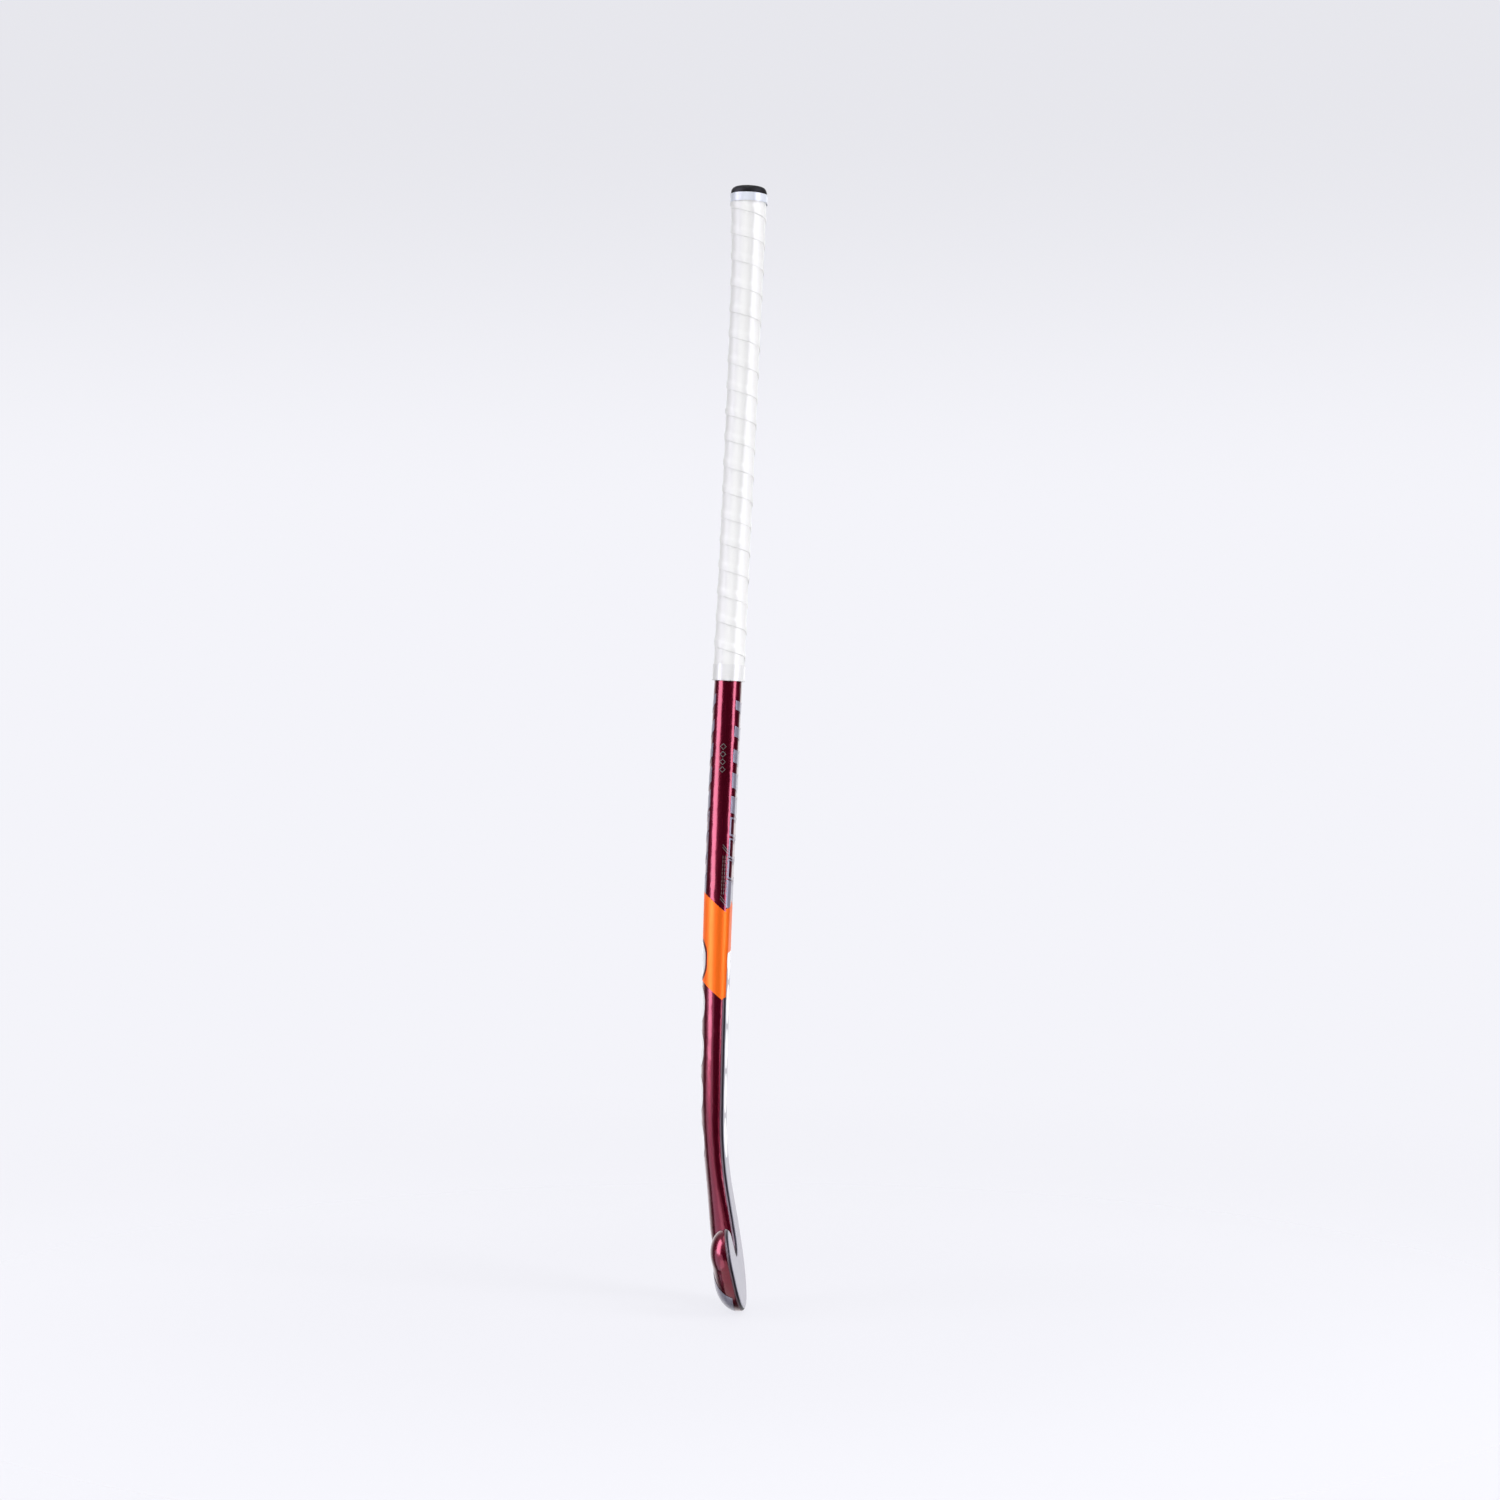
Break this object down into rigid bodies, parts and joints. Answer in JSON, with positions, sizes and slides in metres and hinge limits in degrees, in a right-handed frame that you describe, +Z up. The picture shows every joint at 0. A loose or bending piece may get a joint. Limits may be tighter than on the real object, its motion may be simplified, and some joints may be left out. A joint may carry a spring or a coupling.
{
  "type": "field hockey stick",
  "caption": "Field hockey stick with a hooked head, one flat playing face, a rounded back, a bowed glossy shaft, a spiral-wrapped handle and a domed end cap.",
  "frame": {"origin": "bottom centre of the bounding box, level with the lowest point of the sole", "axes": "+Z up from the sole to the butt, the flat playing face toward -Y, the toe of the hook toward -X"},
  "size_m": [0.1184, 0.0572, 0.9524],
  "materials": {
    "maroon_lacquer": "deep metallic lacquer over a carbon and glass laminate",
    "core_foam": "rigid polyurethane foam",
    "tube_laminate": "unpainted laminate",
    "plug_foam": "machined rigid foam",
    "cap_rubber": "moulded, satin",
    "cushion_wrap": "thin foam tape",
    "grip_white": "soft polyurethane, matte with a fine grain",
    "tape_white": "smooth vinyl tape",
    "silver_film": "satin silver print",
    "white_film": "gloss white print",
    "orange_film": "gloss orange print",
    "dark_film": "gloss near-black print",
    "pale_film": "fine grey print",
    "outline_film": "gloss dark maroon print",
    "mark_film": "fine silver print"
  },
  "bodies": {
    "root": {"composite_shell": "maroon_lacquer", "head_core": "core_foam", "core_tube_toe_side": "tube_laminate", "core_tube_heel_side": "tube_laminate", "butt_plug": "plug_foam", "end_cap": "cap_rubber", "handle_underwrap": "cushion_wrap", "grip_tape": "grip_white", "finishing_tape": "tape_white", "grip_top_band": "tape_white", "face_film": "silver_film", "face_lobes": "white_film", "back_lobes": "white_film", "lobe_outline": "outline_film", "dark_edge_line": "dark_film", "pale_edge_line": "pale_film", "colour_band": "orange_film", "hook_patch": "silver_film", "face_chevrons": "silver_film", "back_chevrons": "silver_film", "edge_lozenges": "mark_film", "edge_panel": "mark_film"}
  },
  "joints": []
}
